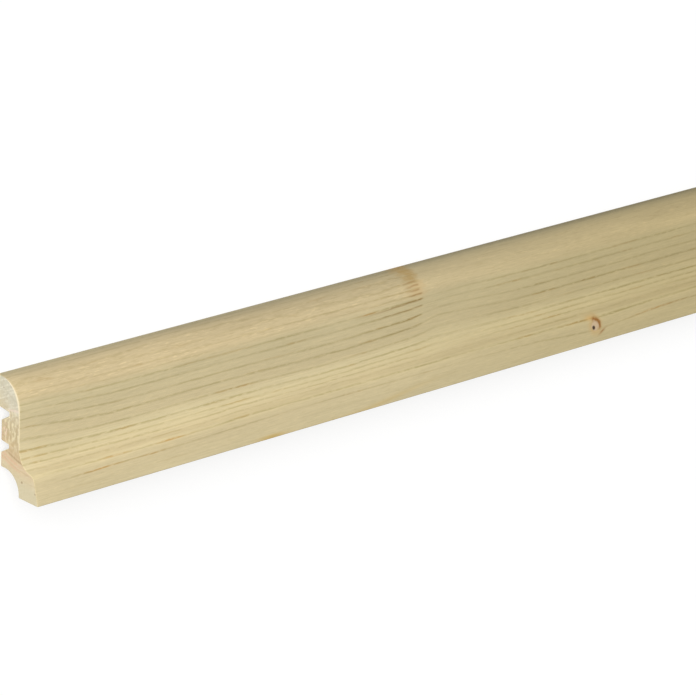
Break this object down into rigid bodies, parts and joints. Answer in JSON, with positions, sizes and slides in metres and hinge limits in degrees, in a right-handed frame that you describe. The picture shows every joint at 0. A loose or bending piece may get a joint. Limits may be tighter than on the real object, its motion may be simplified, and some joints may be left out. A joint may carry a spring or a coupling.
{
  "type": "skirting board",
  "caption": "Unfinished softwood skirting board with a rounded top, coved foot, clip grooves in the back and a cove for cables behind the foot.",
  "frame": {"origin": "middle of the rectangle that the board covers as it lies on its back, on the ground", "axes": "+X along the board, +Y from its sole to its rounded top, +Z from the wall side to the front"},
  "size_m": [2.4, 0.04, 0.022],
  "materials": {
    "softwood": "planed, bare, with sawn ends"
  },
  "bodies": {
    "root": {"skirting_board": "softwood"}
  },
  "joints": []
}
